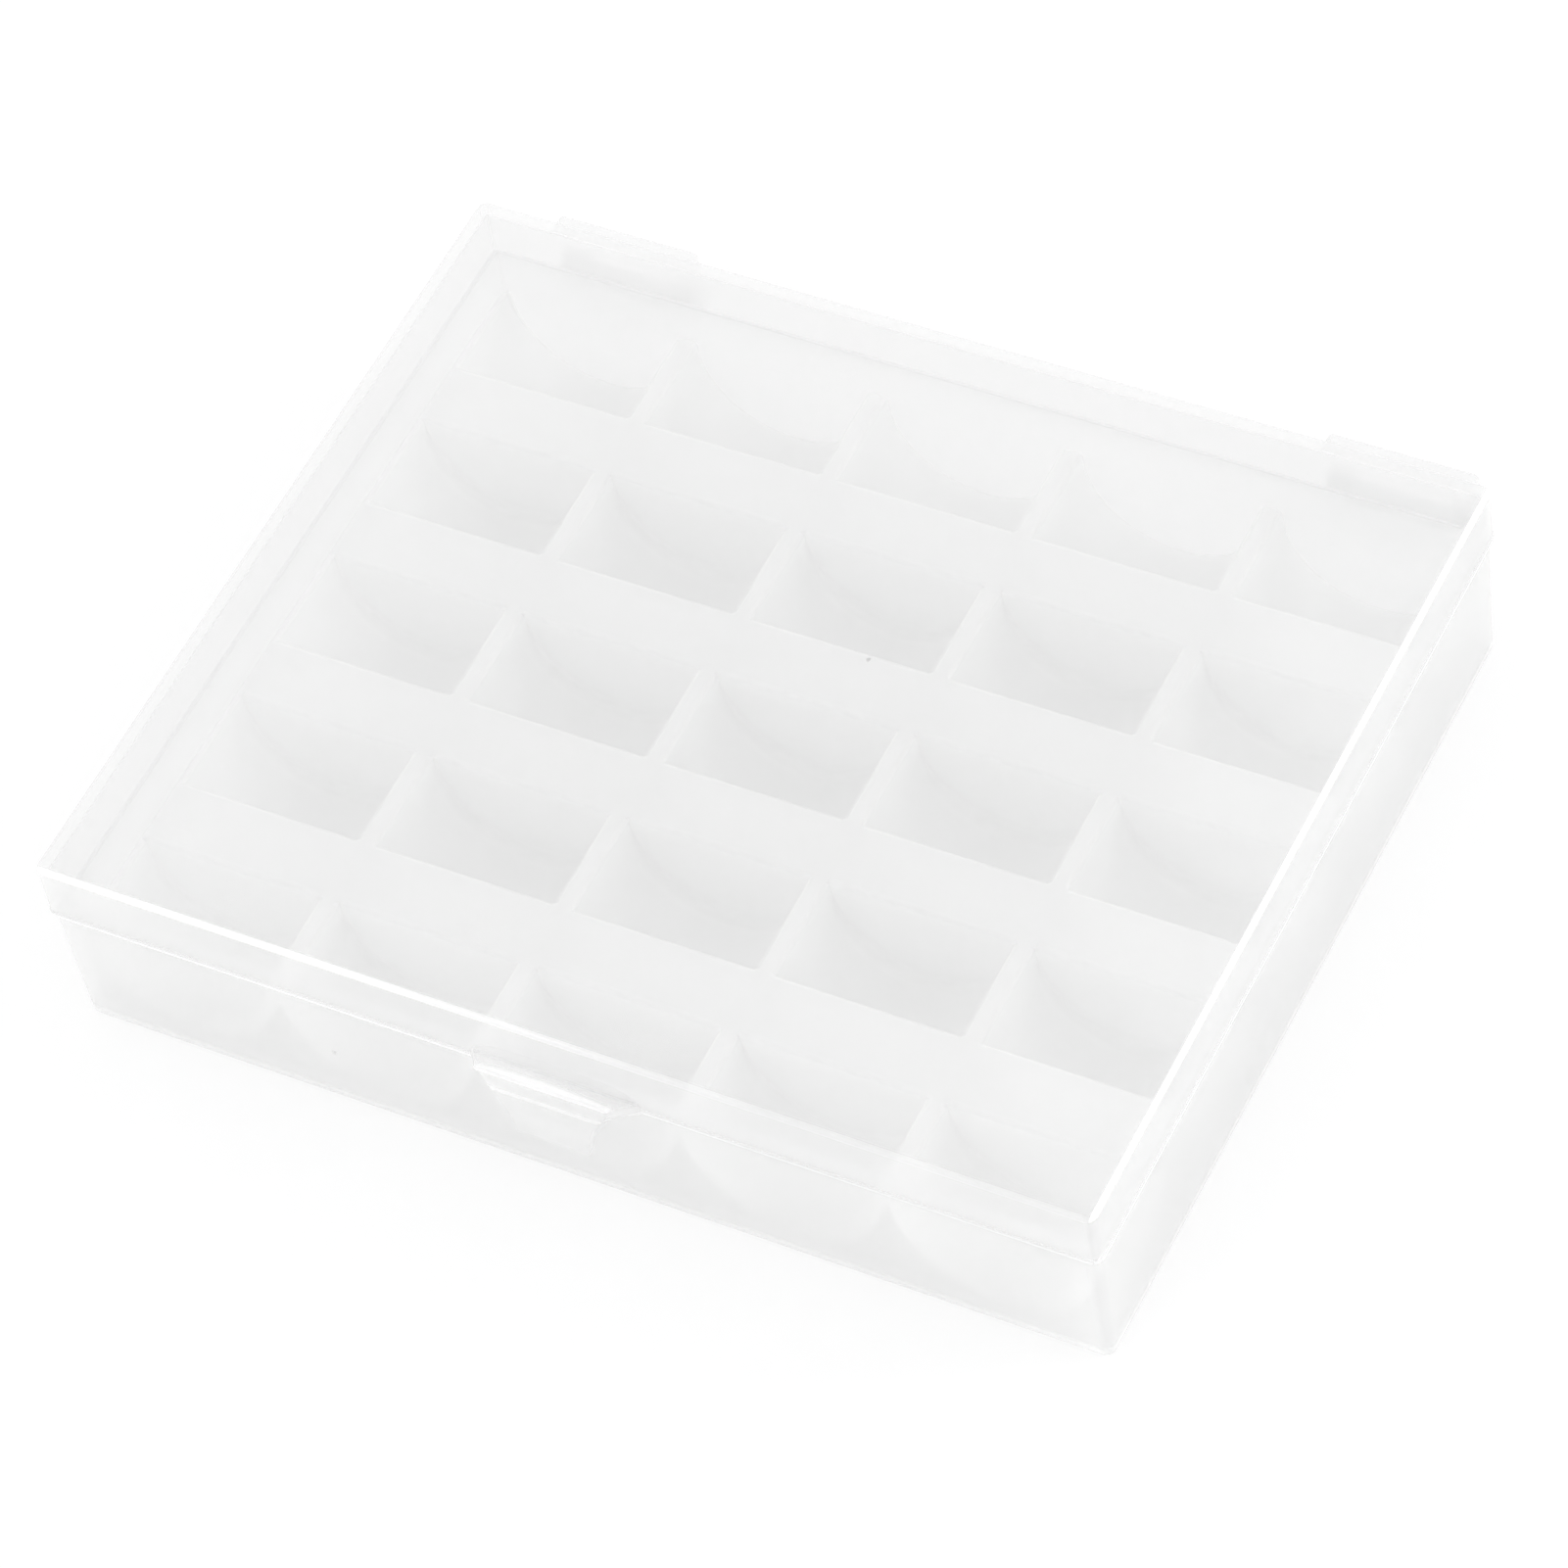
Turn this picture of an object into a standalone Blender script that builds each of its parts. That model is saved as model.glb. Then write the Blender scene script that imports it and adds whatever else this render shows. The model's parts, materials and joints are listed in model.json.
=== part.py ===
"""Bobbin box: a clear flat case with a hinged lid and a lift-out insert of 25 half-round slots.

Metres, +Z up. The origin is the centre of the case's footprint, on the surface that it stands on.
The latch is at the front, towards -Y, and the hinges are at the back.
"""

import math

import bmesh
import bpy
from mathutils import Matrix, Vector

# Lid: outer size over the skirt, height of the closed case and depth of the skirt
LID_WIDTH = 0.1200
LID_DEPTH = 0.0990
CASE_HEIGHT = 0.0254
SKIRT_HEIGHT = 0.0077
LID_WALL = 0.0010
LID_CORNER_RADIUS = 0.0012
LID_TOP_RADIUS = 0.0006
LID_INNER_RADIUS = 0.0004

# Base: how far its wall stands back from the lid's skirt, and the lip that the skirt slides over
BASE_STEP = 0.00035
BASE_WALL = 0.00135
BASE_FLOOR = 0.0012
BASE_DRAFT = 0.0004
BASE_CORNER_RADIUS = 0.0010
BASE_FOOT_RADIUS = 0.0007
CAVITY_DRAFT = 0.0002
CAVITY_CORNER_RADIUS = 0.0008
CAVITY_FLOOR_RADIUS = 0.0006
LIP_HEIGHT = 0.0015

# Clearances: between faces at rest, beside the insert at the cavity's foot, between the skirt and the
# lip, and round the hinge pins
REST_GAP = 0.0003
INSERT_SIDE_GAP = 0.0004
LIP_GAP = 0.0002
PIN_GAP = 0.00025

# Insert: half-round troughs, as a thin shell hanging from a flat top
SLOT_COLUMNS = 5
SLOT_ROWS = 5
SLOT_PITCH_X = 0.0233
SLOT_PITCH_Y = 0.0206
SLOT_RADIUS = 0.0105
SLOT_LENGTH = 0.0124
INSERT_WALL = 0.0007
INSERT_HEIGHT = 0.0125
INSERT_CORNER_RADIUS = 0.0020

# Hinges: two alike, each a knuckle between two lugs on a pin. Their middles' distances from the
# lid's ends are read from the photograph, and they aren't the same
LEFT_HINGE_INSET = 0.0168
RIGHT_HINGE_INSET = 0.0114
HINGE_LENGTH = 0.0172
HINGE_RADIUS = 0.0018
PIN_RADIUS = 0.00075
LUG_LENGTH = 0.0027
LUG_WEB_RISE = 0.0009
AXIS_BEHIND_BASE = 0.00215
AXIS_BELOW_RIM = 0.0015
ARM_PROUD = 0.0025
ARM_TOP_DROP = 0.0022
ARM_END_RADIUS = 0.0008

# Latch: a thumb tab that hangs from the lid's rim, with a bead that snaps under a ridge on the base
TAB_ROOT_HALF = 0.0097
TAB_ROOT_RISE = 0.0036
TAB_FOOT_HALF = 0.0041
TAB_DROP = 0.0063
TAB_PROUD = 0.0027
TAB_WALL = 0.0011
TAB_EDGE_RADIUS = 0.0007
CATCH_HALF = 0.0040
RIDGE_PROUD = 0.0009
RIDGE_HEIGHT = 0.0012
RIDGE_BELOW_RIM = 0.0014
BEAD_HEIGHT = 0.0012

# Steps that round shapes are cut into, and how far tools and joined shapes run past a face
CORNER_STEPS = 5
EDGE_STEPS = 3
HINGE_STEPS = 24
SLOT_STEPS = 24
TAB_STEPS = 12
OVERRUN = 0.0010
BITE = 0.0004

# Derived sizes
RIM_Z = CASE_HEIGHT - SKIRT_HEIGHT
LEDGE_Z = RIM_Z - REST_GAP
LID_HALF = Vector((LID_WIDTH / 2, LID_DEPTH / 2))
SKIRT_INNER_HALF = LID_HALF - Vector((LID_WALL, LID_WALL))
BASE_HALF = LID_HALF - Vector((BASE_STEP, BASE_STEP))
LIP_HALF = SKIRT_INNER_HALF - Vector((LIP_GAP, LIP_GAP))
CAVITY_HALF = BASE_HALF - Vector((BASE_WALL, BASE_WALL))
INSERT_GAP = CAVITY_DRAFT + INSERT_SIDE_GAP
INSERT_HALF = CAVITY_HALF - Vector((INSERT_GAP, INSERT_GAP))
INSERT_BOTTOM_Z = BASE_FLOOR + REST_GAP
INSERT_TOP_Z = INSERT_BOTTOM_Z + INSERT_HEIGHT
SLOT_AXIS_Z = INSERT_BOTTOM_Z + INSERT_WALL + SLOT_RADIUS
HINGE_PLACES = (LEFT_HINGE_INSET - LID_HALF.x, LID_HALF.x - RIGHT_HINGE_INSET)
HINGE_Y = BASE_HALF.y + AXIS_BEHIND_BASE
HINGE_Z = RIM_Z - AXIS_BELOW_RIM
KNUCKLE_LENGTH = HINGE_LENGTH - 2 * (LUG_LENGTH + REST_GAP)
ARM_BACK_Y = LID_HALF.y + ARM_PROUD
TAB_FRONT_Y = -LID_HALF.y - TAB_PROUD
TAB_INNER_Y = TAB_FRONT_Y + TAB_WALL
RIDGE_FRONT_Y = -BASE_HALF.y - RIDGE_PROUD
RIDGE_TOP_Z = RIM_Z - RIDGE_BELOW_RIM
BEAD_TOP_Z = RIDGE_TOP_Z - RIDGE_HEIGHT - 2 * REST_GAP


def clear_scene():
    for obj in list(bpy.data.objects):
        bpy.data.objects.remove(obj, do_unlink=True)


def new_collection(name):
    found = bpy.data.collections.get(name)
    if found is None:
        found = bpy.data.collections.new(name)
        bpy.context.scene.collection.children.link(found)
    return found


def new_material(name, colour, roughness, alpha):
    material = bpy.data.materials.new(name)
    material.use_nodes = True
    shader = material.node_tree.nodes["Principled BSDF"]
    shader.inputs["Base Color"].default_value = (*colour, 1)
    shader.inputs["Roughness"].default_value = roughness
    shader.inputs["Metallic"].default_value = 0
    shader.inputs["Alpha"].default_value = alpha
    material.diffuse_color = (*colour, alpha)
    return material


def to_object(name, mesh_data, collection):
    """Turns a finished bmesh into an object in the collection."""
    mesh = bpy.data.meshes.new(name)
    bmesh.ops.recalc_face_normals(mesh_data, faces=mesh_data.faces)
    mesh_data.to_mesh(mesh)
    mesh_data.free()
    obj = bpy.data.objects.new(name, mesh)
    collection.objects.link(obj)
    return obj


def to_tool(name, mesh_data):
    """An object that only cuts or adds to a part."""
    tool = to_object(name, mesh_data, TOOLS)
    tool.hide_render = True
    tool.display_type = "WIRE"
    return tool


def add_block(mesh_data, low, high):
    """A plain block between two corners. Returns its vertices."""
    low, high = Vector(low), Vector(high)
    place = Matrix.Translation((low + high) / 2) @ Matrix.Diagonal((*(high - low), 1))
    return bmesh.ops.create_cube(mesh_data, size=1, matrix=place)["verts"]


def add_rod(mesh_data, centre, radius, length, axis, steps):
    """A closed cylinder along X or Y, with its middle at the centre."""
    turn = Matrix.Rotation(math.pi / 2, 4, "Y" if axis == "X" else "X")
    bmesh.ops.create_cone(
        mesh_data, cap_ends=True, segments=steps, radius1=radius, radius2=radius, depth=length,
        matrix=Matrix.Translation(centre) @ turn,
    )


def edges_of(vertices, wanted):
    """The edges among these vertices that the test keeps."""
    found = {edge for vertex in vertices for edge in vertex.link_edges}
    return [edge for edge in found if wanted(edge)]


def upright(edge):
    first, second = (vertex.co for vertex in edge.verts)
    return abs(first.z - second.z) > max(abs(first.x - second.x), abs(first.y - second.y))


def along_y(edge):
    first, second = (vertex.co for vertex in edge.verts)
    return abs(first.y - second.y) > max(abs(first.x - second.x), abs(first.z - second.z))


def level_at(height):
    def test(edge):
        return all(abs(vertex.co.z - height) < BITE for vertex in edge.verts)

    return test


def bevel(mesh_data, edges, radius, steps):
    bmesh.ops.bevel(mesh_data, geom=edges, offset=radius, segments=steps, profile=0.5, affect="EDGES")


def rounded_block(half, low_z, high_z, corner, draft=0, low_radius=0, high_radius=0):
    """A block on the case's centre line with round upright corners, narrower at its foot by the draft."""
    mesh_data = bmesh.new()
    add_block(mesh_data, (-half.x, -half.y, low_z), (half.x, half.y, high_z))
    for vertex in mesh_data.verts:
        if vertex.co.z < (low_z + high_z) / 2:
            vertex.co.x -= math.copysign(draft, vertex.co.x)
            vertex.co.y -= math.copysign(draft, vertex.co.y)
    bevel(mesh_data, edges_of(mesh_data.verts, upright), corner, CORNER_STEPS)
    for height, radius in ((low_z, low_radius), (high_z, high_radius)):
        if radius:
            bevel(mesh_data, edges_of(mesh_data.verts, level_at(height)), radius, EDGE_STEPS)
    return mesh_data


def combine(target, tool, operation):
    modifier = target.modifiers.new(tool.name, "BOOLEAN")
    modifier.operation = operation
    modifier.object = tool
    modifier.solver = "EXACT"


def finish(obj, material, origin):
    """Gives a part its material, smooth rounds and an origin, without moving its shape."""
    obj.data.materials.append(material)
    obj.data.transform(Matrix.Translation(-Vector(origin)))
    obj.location = origin
    obj.data.shade_smooth()
    obj.data.set_sharp_from_angle(angle=math.radians(30))


def hinge_rods(radius, length):
    """A rod of this length on the hinge axis at each hinge."""
    mesh_data = bmesh.new()
    for place in HINGE_PLACES:
        add_rod(mesh_data, (place, HINGE_Y, HINGE_Z), radius, length, "X", HINGE_STEPS)
    return mesh_data


def make_base(material):
    base = to_object(
        "case_base",
        rounded_block(BASE_HALF, 0, LEDGE_Z, BASE_CORNER_RADIUS, BASE_DRAFT, low_radius=BASE_FOOT_RADIUS),
        PARTS,
    )
    lip_corner = BASE_CORNER_RADIUS - (BASE_HALF.x - LIP_HALF.x)
    lip = rounded_block(LIP_HALF, LEDGE_Z - BASE_FLOOR, RIM_Z + LIP_HEIGHT - REST_GAP, lip_corner)
    combine(base, to_tool("lip", lip), "UNION")
    combine(base, to_tool("hinge_lugs", hinge_lugs()), "UNION")
    combine(base, to_tool("hinge_webs", hinge_webs()), "UNION")
    combine(base, to_tool("catch_ridge", catch_ridge()), "UNION")
    cavity = rounded_block(
        CAVITY_HALF, BASE_FLOOR, RIM_Z + LIP_HEIGHT + OVERRUN, CAVITY_CORNER_RADIUS,
        CAVITY_DRAFT, low_radius=CAVITY_FLOOR_RADIUS,
    )
    combine(base, to_tool("cavity", cavity), "DIFFERENCE")
    bores = hinge_rods(PIN_RADIUS + PIN_GAP, HINGE_LENGTH + 2 * OVERRUN)
    combine(base, to_tool("lug_bores", bores), "DIFFERENCE")
    finish(base, material, (0, 0, 0))
    return base


def lug_centres():
    """The middle of each lug along X: one at each end of each hinge."""
    reach = (HINGE_LENGTH - LUG_LENGTH) / 2
    return [place + side * reach for place in HINGE_PLACES for side in (-1, 1)]


def hinge_lugs():
    mesh_data = bmesh.new()
    for x in lug_centres():
        add_rod(mesh_data, (x, HINGE_Y, HINGE_Z), HINGE_RADIUS, LUG_LENGTH, "X", HINGE_STEPS)
    return mesh_data


def hinge_webs():
    """The block that joins each lug to the back wall, flush with the lug's sides."""
    mesh_data = bmesh.new()
    wall_y = BASE_HALF.y - BASE_WALL / 2
    for x in lug_centres():
        low = (x - LUG_LENGTH / 2, wall_y, HINGE_Z - HINGE_RADIUS)
        high = (x + LUG_LENGTH / 2, HINGE_Y, HINGE_Z + LUG_WEB_RISE)
        add_block(mesh_data, low, high)
    return mesh_data


def catch_ridge():
    """The ridge across the middle of the base's front wall."""
    mesh_data = bmesh.new()
    low = (-CATCH_HALF, RIDGE_FRONT_Y, RIDGE_TOP_Z - RIDGE_HEIGHT)
    high = (CATCH_HALF, -BASE_HALF.y + BASE_WALL / 2, RIDGE_TOP_Z)
    add_block(mesh_data, low, high)
    front = edges_of(mesh_data.verts, lambda edge: all(v.co.y < -BASE_HALF.y for v in edge.verts))
    bevel(mesh_data, front, RIDGE_PROUD / 3, EDGE_STEPS)
    return mesh_data


def make_lid(material):
    lid = to_object(
        "case_lid",
        rounded_block(LID_HALF, RIM_Z, CASE_HEIGHT, LID_CORNER_RADIUS, high_radius=LID_TOP_RADIUS),
        PARTS,
    )
    combine(lid, to_tool("hinge_arms", hinge_arms()), "UNION")
    combine(lid, to_tool("hinge_necks", hinge_necks()), "UNION")
    combine(lid, to_tool("hinge_knuckles", hinge_rods(HINGE_RADIUS, KNUCKLE_LENGTH)), "UNION")
    combine(lid, latch_tab(), "UNION")
    inner_corner = max(LID_CORNER_RADIUS - LID_WALL, LID_INNER_RADIUS)
    hollow = rounded_block(
        SKIRT_INNER_HALF, RIM_Z - OVERRUN, CASE_HEIGHT - LID_WALL, inner_corner,
        high_radius=LID_INNER_RADIUS / 2,
    )
    combine(lid, to_tool("lid_hollow", hollow), "DIFFERENCE")
    combine(lid, to_tool("tab_hollow", tab_hollow()), "DIFFERENCE")
    combine(lid, to_tool("latch_bead", latch_bead()), "UNION")
    bores = hinge_rods(PIN_RADIUS + PIN_GAP, KNUCKLE_LENGTH + 2 * OVERRUN)
    combine(lid, to_tool("knuckle_bores", bores), "DIFFERENCE")
    finish(lid, material, (0, HINGE_Y, HINGE_Z))
    return lid


def hinge_arms():
    """The flat blocks on the lid's back skirt that carry the knuckles."""
    mesh_data = bmesh.new()
    for place in HINGE_PLACES:
        low = (place - HINGE_LENGTH / 2, LID_HALF.y - BITE, HINGE_Z + HINGE_RADIUS + BITE)
        high = (place + HINGE_LENGTH / 2, ARM_BACK_Y, CASE_HEIGHT - ARM_TOP_DROP)
        add_block(mesh_data, low, high)
    top = level_at(CASE_HEIGHT - ARM_TOP_DROP)
    ends = edges_of(mesh_data.verts, lambda edge: top(edge) and along_y(edge))
    bevel(mesh_data, ends, ARM_END_RADIUS, EDGE_STEPS)
    return mesh_data


def hinge_necks():
    """Between the lugs, the arm runs on down to the knuckle."""
    mesh_data = bmesh.new()
    for place in HINGE_PLACES:
        low = (place - KNUCKLE_LENGTH / 2, LID_HALF.y, HINGE_Z)
        high = (place + KNUCKLE_LENGTH / 2, ARM_BACK_Y, HINGE_Z + HINGE_RADIUS + 2 * BITE)
        add_block(mesh_data, low, high)
    return mesh_data


def tab_outline():
    """The tab seen from the front: an arched root above the rim, and sides that draw in to its foot."""
    points = [(TAB_FOOT_HALF, RIM_Z - TAB_DROP)]
    for step in range(TAB_STEPS + 1):
        angle = math.pi * step / TAB_STEPS
        points.append((TAB_ROOT_HALF * math.cos(angle), RIM_Z + TAB_ROOT_RISE * math.sin(angle)))
    points.append((-TAB_FOOT_HALF, RIM_Z - TAB_DROP))
    return points


def latch_tab():
    """A thick plate of the tab's outline, with its front edges rounded."""
    outline = bpy.data.curves.new("tab_outline", "CURVE")
    outline.dimensions = "2D"
    outline.fill_mode = "BOTH"
    thickness = TAB_PROUD + LID_WALL / 2
    outline.extrude = thickness / 2
    points = tab_outline()
    spline = outline.splines.new("POLY")
    spline.points.add(len(points) - 1)
    for point, (x, z) in zip(spline.points, points):
        point.co = (x, z, 0, 1)
    spline.use_cyclic_u = True
    flat = bpy.data.objects.new("tab_outline", outline)
    PARTS.objects.link(flat)
    flat.rotation_euler = (math.pi / 2, 0, 0)
    flat.location = (0, TAB_FRONT_Y + thickness / 2, 0)
    bpy.context.view_layer.update()
    solid = bpy.data.meshes.new_from_object(flat.evaluated_get(bpy.context.evaluated_depsgraph_get()))
    solid.transform(flat.matrix_world)
    bpy.data.objects.remove(flat)
    mesh_data = bmesh.new()
    mesh_data.from_mesh(solid)
    bmesh.ops.remove_doubles(mesh_data, verts=mesh_data.verts, dist=BITE / 100)
    bmesh.ops.dissolve_limit(
        mesh_data, angle_limit=math.radians(1), verts=mesh_data.verts, edges=mesh_data.edges
    )
    front = edges_of(
        mesh_data.verts, lambda edge: all(v.co.y < TAB_FRONT_Y + BITE for v in edge.verts)
    )
    bevel(mesh_data, front, TAB_EDGE_RADIUS, EDGE_STEPS)
    return to_tool("latch_tab", mesh_data)


def tab_hollow():
    """The room behind the tab, open below and at the sides."""
    mesh_data = bmesh.new()
    low = (-TAB_ROOT_HALF - OVERRUN, TAB_INNER_Y, RIM_Z - TAB_DROP - OVERRUN)
    high = (TAB_ROOT_HALF + OVERRUN, -SKIRT_INNER_HALF.y, RIM_Z)
    add_block(mesh_data, low, high)
    return mesh_data


def latch_bead():
    """The bead across the tab's inner face, which sits under the ridge."""
    mesh_data = bmesh.new()
    low = (-CATCH_HALF, TAB_INNER_Y - BITE, BEAD_TOP_Z - BEAD_HEIGHT)
    high = (CATCH_HALF, RIDGE_FRONT_Y - REST_GAP, BEAD_TOP_Z)
    add_block(mesh_data, low, high)
    return mesh_data


def grid_places():
    """The middle of each slot, by column and row."""
    for column in range(SLOT_COLUMNS):
        for row in range(SLOT_ROWS):
            x = (column - (SLOT_COLUMNS - 1) / 2) * SLOT_PITCH_X
            y = (row - (SLOT_ROWS - 1) / 2) * SLOT_PITCH_Y
            yield x, y


def troughs(radius, length):
    """A rod on each slot's axis."""
    mesh_data = bmesh.new()
    for x, y in grid_places():
        add_rod(mesh_data, (x, y, SLOT_AXIS_Z), radius, length, "Y", SLOT_STEPS)
    return mesh_data


def make_insert(material):
    insert = to_object(
        "bobbin_insert",
        rounded_block(INSERT_HALF, INSERT_TOP_Z - INSERT_WALL, INSERT_TOP_Z, INSERT_CORNER_RADIUS),
        PARTS,
    )
    shells = troughs(SLOT_RADIUS + INSERT_WALL, SLOT_LENGTH + 2 * INSERT_WALL)
    combine(insert, to_tool("slot_shells", shells), "UNION")
    envelope = rounded_block(
        INSERT_HALF, INSERT_BOTTOM_Z - OVERRUN, INSERT_TOP_Z, INSERT_CORNER_RADIUS
    )
    combine(insert, to_tool("insert_envelope", envelope), "INTERSECT")
    combine(insert, to_tool("slots", troughs(SLOT_RADIUS, SLOT_LENGTH)), "DIFFERENCE")
    finish(insert, material, (0, 0, INSERT_BOTTOM_Z))
    return insert


def make_pins(material):
    for name, place in zip(("hinge_pin_left", "hinge_pin_right"), HINGE_PLACES):
        mesh_data = bmesh.new()
        add_rod(mesh_data, (place, HINGE_Y, HINGE_Z), PIN_RADIUS, HINGE_LENGTH, "X", HINGE_STEPS)
        pin = to_object(name, mesh_data, PARTS)
        finish(pin, material, (place, HINGE_Y, HINGE_Z))


clear_scene()
PARTS = new_collection("bobbin_box")
TOOLS = new_collection("cutters")
make_base(new_material("clear_base", (0.87, 0.88, 0.88), 0.12, 0.35))
make_lid(new_material("clear_lid", (0.88, 0.89, 0.89), 0.10, 0.30))
make_insert(new_material("frosted_insert", (0.84, 0.85, 0.85), 0.30, 0.45))
make_pins(new_material("clear_pin", (0.86, 0.87, 0.87), 0.15, 0.40))
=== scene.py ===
"""The looks of a bobbin box: a clear hinged case round a frosted insert with 25 half-round slots.

Metres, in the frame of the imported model: +Z up, the latch towards -Y and the hinges at the back.
The five pieces are made again here with fine rounds and fillets, each in the place of its own node.
"""

import json
import math

import bmesh
import bpy
from mathutils import Matrix, Vector


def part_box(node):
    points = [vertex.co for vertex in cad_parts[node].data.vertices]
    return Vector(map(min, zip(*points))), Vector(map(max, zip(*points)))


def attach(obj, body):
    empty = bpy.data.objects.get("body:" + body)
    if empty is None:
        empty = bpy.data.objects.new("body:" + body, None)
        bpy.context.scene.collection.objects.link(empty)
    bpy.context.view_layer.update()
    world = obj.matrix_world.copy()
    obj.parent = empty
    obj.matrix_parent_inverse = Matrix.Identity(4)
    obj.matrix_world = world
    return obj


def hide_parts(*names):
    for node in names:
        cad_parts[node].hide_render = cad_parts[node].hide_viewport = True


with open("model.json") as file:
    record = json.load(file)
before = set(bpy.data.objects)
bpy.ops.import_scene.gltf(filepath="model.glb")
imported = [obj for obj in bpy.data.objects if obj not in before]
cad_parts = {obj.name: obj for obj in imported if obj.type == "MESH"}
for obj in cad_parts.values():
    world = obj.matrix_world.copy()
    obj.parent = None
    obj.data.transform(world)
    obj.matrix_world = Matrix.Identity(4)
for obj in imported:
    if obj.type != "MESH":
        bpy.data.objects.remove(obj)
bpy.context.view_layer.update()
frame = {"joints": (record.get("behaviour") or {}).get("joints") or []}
MM = 0.001

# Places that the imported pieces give
LID_LOW, LID_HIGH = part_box("case_lid")
BASE_LOW, BASE_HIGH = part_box("case_base")
INSERT_LOW, INSERT_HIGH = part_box("bobbin_insert")
PIN_BOXES = {side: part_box("hinge_pin_" + side) for side in ("left", "right")}
HINGE = Vector(next(joint["pos_m"] for joint in frame["joints"] if joint["name"] == "lid_hinge"))
HINGE_MIDDLES = [(low.x + high.x) / 2 for low, high in PIN_BOXES.values()]
HINGE_LENGTH = PIN_BOXES["left"][1].x - PIN_BOXES["left"][0].x
PIN_RADIUS = PIN_BOXES["left"][1].z - HINGE.z

# Lid
LID_HALF = Vector((LID_HIGH.x, 49.5 * MM))
LID_TOP_Z = LID_HIGH.z
RIM_Z = 17.7 * MM
LID_WALL = 1.0 * MM
LID_CORNER = 1.3 * MM
LID_TOP_ROUND = 0.75 * MM
LID_INNER_ROUND = 0.45 * MM
RIM_ROUND = 0.22 * MM
RIM_BEAD_PROUD = 0.12 * MM
RIM_BEAD_HEIGHT = 0.8 * MM
LEAST_CORNER = 0.35 * MM

# Base
BASE_HALF = Vector((BASE_HIGH.x, 49.15 * MM))
LEDGE_Z = 17.4 * MM
LIP_Z = BASE_HIGH.z
BASE_DRAFT = 0.4 * MM
FOOT_ROUND = 0.9 * MM
BASE_CORNER = 1.6 * MM
LEDGE_ROUND = 0.15 * MM
LIP_INSET = 0.85 * MM
WALL_INSET = 1.35 * MM
CAVITY_DRAFT = 0.2 * MM
FLOOR_Z = 1.2 * MM
FLOOR_ROUND = 0.8 * MM

# Insert
SLOT_COLUMNS = 5
SLOT_ROWS = 5
SLOT_PITCH_X = 23.3 * MM
SLOT_PITCH_Y = 20.6 * MM
SLOT_LENGTH = 12.4 * MM
INSERT_WALL = 0.7 * MM
INSERT_CORNER = 2.0 * MM
SLOT_RADIUS = 10.5 * MM
SLOT_AXIS_Z = INSERT_LOW.z + INSERT_WALL + SLOT_RADIUS
SLOT_FLOOR_ROUND = 1.2 * MM
SLOT_BRIM_ROUND = 0.6 * MM
BRIM_SHARE = 0.9

# Hinges
KNUCKLE_RADIUS = LID_HIGH.y - HINGE.y
LUG_LENGTH = 2.7 * MM
LUG_GAP = 0.3 * MM
LUG_WEB_RISE = 0.9 * MM
BORE_RADIUS = PIN_RADIUS + 0.25 * MM
ARM_PROUD = 2.5 * MM
ARM_TOP_DROP = 2.2 * MM
ARM_GAP = 0.4 * MM
ARM_END_ROUND = 0.8 * MM
ARM_BACK_ROUND = 0.35 * MM
SMALL_ROUND = 0.25 * MM
KNUCKLE_LENGTH = HINGE_LENGTH - 2 * (LUG_LENGTH + LUG_GAP)
ARM_BACK_Y = LID_HALF.y + ARM_PROUD

# Latch
TAB_FRONT_Y = LID_LOW.y
TAB_FOOT_Z = LID_LOW.z
TAB_ROOT_HALF = 9.7 * MM
TAB_ROOT_Z = 21.3 * MM
TAB_TOP_HALF = 7.5 * MM
TAB_TOP_Z = 20.8 * MM
TAB_FOOT_HALF = 4.1 * MM
TAB_WALL = 1.1 * MM
TAB_ROUND = 0.5 * MM
RIDGE_HALF = 4.0 * MM
RIDGE_TOP_Z = 16.3 * MM
RIDGE_HEIGHT = 1.2 * MM
RIDGE_ROUND = 0.3 * MM
BEAD_TOP_Z = 14.5 * MM
BEAD_HEIGHT = 1.2 * MM
BEAD_TIP_Y = BASE_LOW.y - 0.3 * MM

# Form of the tab's outlines: powers of their curves, and shares of their height and depth
ROOT_FLARE = 1.5
ROOT_ARCH = 3
FRONT_FLARE = 1.6
FRONT_SIDES_SHARE = 0.8
FRONT_ROUND_SHARE = 0.18

# Steps that rounds and straight runs are cut into
CORNER_STEPS = 10
ROUND_STEPS = 6
ROD_STEPS = 48
TAB_STEPS = 27
TROUGH_STEPS = 26
CREST_BRIM_STEPS = 5
END_ROUND_STEPS = 3
END_WALL_STEPS = 5
BAND_STEPS = 3
OPEN_END_STEPS = 12

# How far a cut runs past a face, how deep a joined piece goes in, and how near points are merged
OVERRUN = 1.0 * MM
BITE = 0.4 * MM
WELD = 0.004 * MM


def arc(centre, radius, start, end, steps=ROUND_STEPS):
    """Points of an arc in a section, from one angle to another, in degrees."""
    points = []
    for step in range(steps + 1):
        angle = math.radians(start + (end - start) * step / steps)
        points.append((centre[0] + radius * math.cos(angle), centre[1] + radius * math.sin(angle)))
    return points


def straight(start, end, steps):
    """Points on a straight run, from just past its start to its end."""
    points = []
    for step in range(1, steps + 1):
        points.append(tuple(a + (b - a) * step / steps for a, b in zip(start, end)))
    return points


def rounded_rectangle(half, corner):
    """The corners' arcs of a rounded rectangle, as points in order round it."""
    points = []
    for quarter, (sign_x, sign_y) in enumerate(((1, 1), (-1, 1), (-1, -1), (1, -1))):
        centre = (sign_x * (half.x - corner), sign_y * (half.y - corner))
        points += arc(centre, corner, quarter * 90, quarter * 90 + 90, CORNER_STEPS)
    return points


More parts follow.
